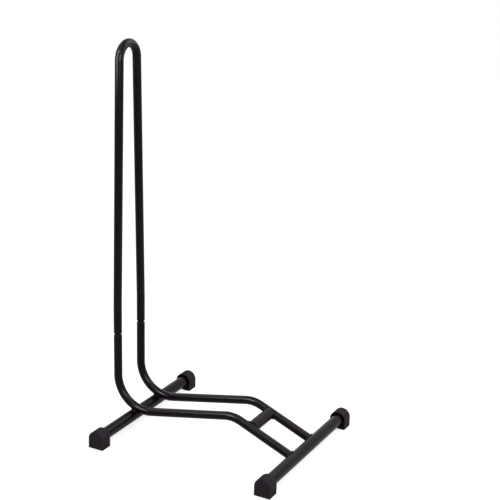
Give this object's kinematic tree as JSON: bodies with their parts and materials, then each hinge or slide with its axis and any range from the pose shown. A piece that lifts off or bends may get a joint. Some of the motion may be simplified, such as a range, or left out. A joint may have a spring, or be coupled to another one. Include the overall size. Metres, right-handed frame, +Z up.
{
  "type": "floor bike stand",
  "caption": "Free-standing bicycle floor stand: a welded tube base on end caps takes the tyre between its rails, and a tall plug-in hoop holds the wheel upright.",
  "frame": {"origin": "on the floor, under the middle of the stand's outer box", "axes": "+X along the rails from the hoop to the front foot, +Y to the left, +Z up"},
  "size_m": [0.4008, 0.338, 0.7264],
  "materials": {
    "tube_paint": "gloss black powder coat on bent steel tube",
    "weld_paint": "gloss black powder coat over a rippled weld bead",
    "cap_rubber": "matt black moulded rubber"
  },
  "bodies": {
    "base_frame": {"left_side_rail": "tube_paint", "right_side_rail": "tube_paint", "cross_tube": "tube_paint", "rear_foot_tube": "tube_paint", "front_foot_tube": "tube_paint", "rear_left_foot_cap": "cap_rubber", "rear_right_foot_cap": "cap_rubber", "front_left_foot_cap": "cap_rubber", "front_right_foot_cap": "cap_rubber", "rear_left_weld": "weld_paint", "rear_right_weld": "weld_paint", "front_left_weld": "weld_paint", "front_right_weld": "weld_paint", "cross_left_weld": "weld_paint", "cross_right_weld": "weld_paint"},
    "hoop": {"upper_hoop": "tube_paint"}
  },
  "joints": [
    {"name": "hoop_lift", "type": "slide", "parent": "base_frame", "child": "hoop", "axis": [0, 0, 1], "range_m": [0, 0.06]}
  ]
}
